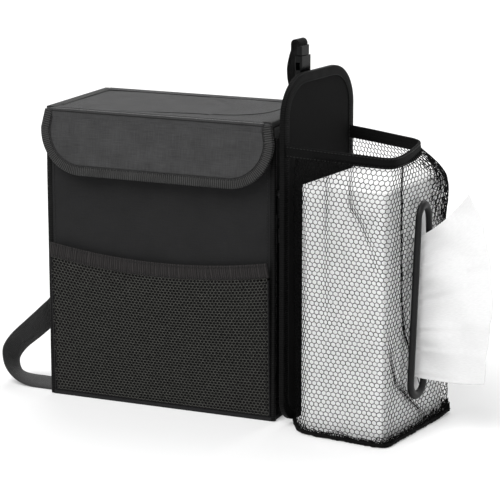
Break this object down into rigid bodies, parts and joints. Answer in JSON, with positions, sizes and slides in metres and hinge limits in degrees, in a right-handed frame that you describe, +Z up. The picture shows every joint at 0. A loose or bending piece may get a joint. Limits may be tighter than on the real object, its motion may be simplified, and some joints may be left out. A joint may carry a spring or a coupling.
{
  "type": "car trash bin",
  "caption": "Cloth trash bin for a car, with a fold-over lid and flap, a front net pocket, a webbing side loop and a strapped-on netted holder for a tissue box.",
  "frame": {"origin": "middle of the bin's underside, on the surface that it stands on", "axes": "+Z up, -Y towards the front with its flap and pocket, +X towards the tissue holder"},
  "size_m": [0.5014, 0.1621, 0.3584],
  "materials": {
    "wall_cloth": "fine plain weave, matte, near black",
    "seam_piping": "thin black piping and tape",
    "lining": "thin grey waterproof film",
    "binding_tape": "ribbed grosgrain tape, dark grey",
    "lid_cloth": "plain woven cloth, dark grey",
    "closure": "hook and loop fastener, black",
    "pocket_cloth": "fine black netting over dark cloth",
    "elastic": "ribbed elastic band, dark grey",
    "webbing": "woven webbing, charcoal",
    "board_cloth": "smooth black cloth over a stiff board",
    "board_binding": "black ribbed binding",
    "netting": "black hexagonal netting and webbing",
    "ring_plastic": "smooth dark grey moulding",
    "buckle_plastic": "black moulded plastic",
    "carton": "plain white coated card",
    "tissue": "soft white tissue"
  },
  "bodies": {
    "bin": {"front_wall": "wall_cloth", "back_wall": "wall_cloth", "left_wall": "wall_cloth", "right_wall": "wall_cloth", "base_panel": "wall_cloth", "liner": "lining", "corner_seam_front_left": "seam_piping", "corner_seam_front_right": "seam_piping", "corner_seam_back_left": "seam_piping", "corner_seam_back_right": "seam_piping", "rim_tape": "binding_tape", "foot_tape": "seam_piping", "hinge_strip": "lid_cloth", "loop_patch": "closure", "front_pocket": "pocket_cloth", "front_pocket_band": "elastic", "left_pocket": "pocket_cloth", "left_pocket_band": "elastic", "right_pocket": "pocket_cloth", "right_pocket_band": "elastic", "left_tab": "webbing", "right_tab": "webbing", "side_strap": "webbing", "link_strap": "webbing", "holder_board": "board_cloth", "board_tape": "board_binding", "net_front": "netting", "net_outer": "netting", "net_back": "netting", "net_base": "netting", "net_shoulder": "netting", "net_hem": "netting", "rim_band": "netting", "slot_ring": "ring_plastic", "tissue_box": "carton", "tissue_sheet": "tissue", "strap_anchor": "webbing", "strap_return": "webbing", "buckle_socket": "buckle_plastic"},
    "lid": {"lid_panel": "lid_cloth", "lid_tape_left": "binding_tape", "lid_tape_right": "binding_tape"},
    "flap": {"flap_panel": "lid_cloth", "flap_tape": "binding_tape", "hook_patch": "closure"},
    "plug": {"buckle_plug": "buckle_plastic", "strap_fold": "webbing"}
  },
  "joints": [
    {"name": "lid_hinge", "type": "hinge", "parent": "bin", "child": "lid", "pos_m": [0, 0.058, 0.283], "axis": [-1, 0, 0], "range_deg": [0, 180]},
    {"name": "flap_fold", "type": "hinge", "parent": "lid", "child": "flap", "pos_m": [0, -0.0644, 0.2837], "axis": [-1, 0, 0], "range_deg": [-7, 172]},
    {"name": "buckle_release", "type": "slide", "parent": "bin", "child": "plug", "axis": [0, 0, 1], "range_m": [0, 0.02], "deforming": ["strap_return"]}
  ]
}
